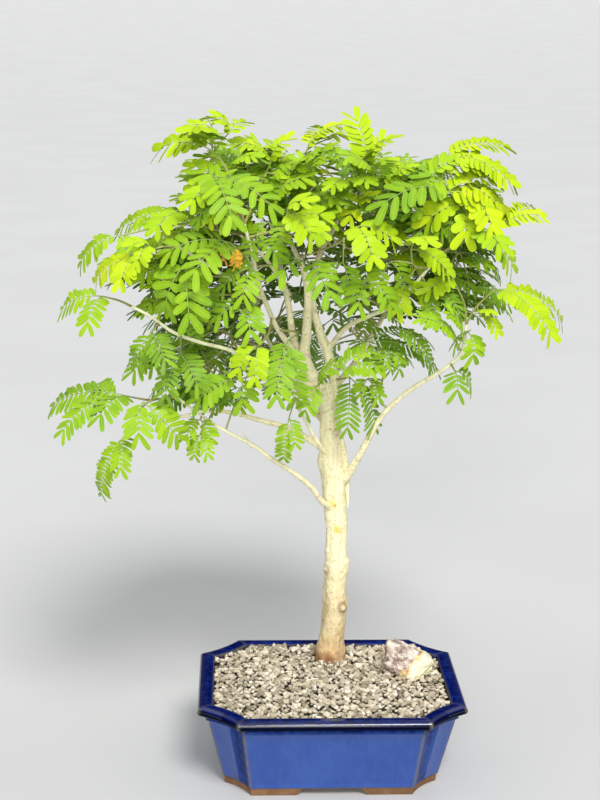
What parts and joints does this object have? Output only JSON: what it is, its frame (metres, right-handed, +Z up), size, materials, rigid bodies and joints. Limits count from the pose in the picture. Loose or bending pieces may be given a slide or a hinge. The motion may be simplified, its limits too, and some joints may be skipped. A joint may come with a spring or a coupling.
{
  "type": "powder puff bonsai",
  "caption": "Bonsai tree with feathery twice-divided leaves on a slim pale trunk, in a glazed rectangular pot with cut corners, topped with gravel and a rock.",
  "frame": {"origin": "bottom centre of the bounding box, on the surface that the pot's feet stand on", "axes": "+Z up the trunk, +X to the right along the pot's long side, +Y away from the viewer"},
  "size_m": [0.3942, 0.2692, 0.5111],
  "materials": {
    "glaze": "glossy cobalt blue glaze, olive where it runs thin on the edges, bare brown clay under the feet",
    "drain_mesh": "black plastic mesh",
    "soil": "damp dark potting soil",
    "gravel": "loose beige and grey gravel",
    "rock": "rough banded cream and pinkish rock",
    "bark": "smooth pale bark, red-brown at the soil",
    "leaf_old": "deep green leaf",
    "leaf_mid": "mid green leaf",
    "leaf_new": "yellow-green young leaf"
  },
  "bodies": {
    "root": {"crown_spray_01": "leaf_new", "crown_spray_02": "leaf_mid", "crown_spray_03": "leaf_mid", "crown_spray_04": "leaf_new", "crown_spray_05": "leaf_new", "crown_spray_06": "leaf_mid", "crown_spray_07": "leaf_mid", "crown_spray_08": "leaf_new", "crown_spray_09": "leaf_old", "crown_spray_10": "leaf_new", "crown_spray_11": "leaf_mid", "drain_screen_left": "drain_mesh", "drain_screen_right": "drain_mesh", "gravel": "gravel", "pot": "glaze", "rock": "rock", "shoot_back_left_low": "leaf_old", "shoot_back_middle": "leaf_old", "shoot_back_right_low": "leaf_old", "shoot_back_top": "leaf_mid", "shoot_back_top_left": "leaf_mid", "shoot_front_centre": "leaf_mid", "shoot_front_left": "leaf_mid", "shoot_front_left_new": "leaf_new", "shoot_front_mid": "leaf_mid", "shoot_front_right": "leaf_new", "shoot_front_right_low": "leaf_mid", "shoot_front_top": "leaf_new", "shoot_left_big": "leaf_mid", "shoot_left_mid": "leaf_new", "shoot_left_pale": "leaf_mid", "shoot_left_tip": "leaf_mid", "shoot_left_upper": "leaf_mid", "shoot_low_left_front": "leaf_mid", "shoot_low_left_tip": "leaf_mid", "shoot_low_mid": "leaf_mid", "shoot_mid_left_hang": "leaf_old", "shoot_mid_left_low": "leaf_old", "shoot_right_dark": "leaf_old", "shoot_right_hang": "leaf_mid", "shoot_right_inner": "leaf_old", "shoot_right_low": "leaf_mid", "shoot_right_pale": "leaf_mid", "shoot_right_twig": "leaf_mid", "shoot_top_mid": "leaf_new", "shoot_trunk_front": "leaf_mid", "shoots_back_left": "leaf_mid", "shoots_back_right": "leaf_mid", "shoots_right_end": "leaf_old", "shoots_right_front": "leaf_old", "shoots_right_tip": "leaf_new", "shoots_top_left": "leaf_new", "shoots_top_right": "leaf_new", "soil": "soil", "trunk": "bark"}
  },
  "joints": []
}
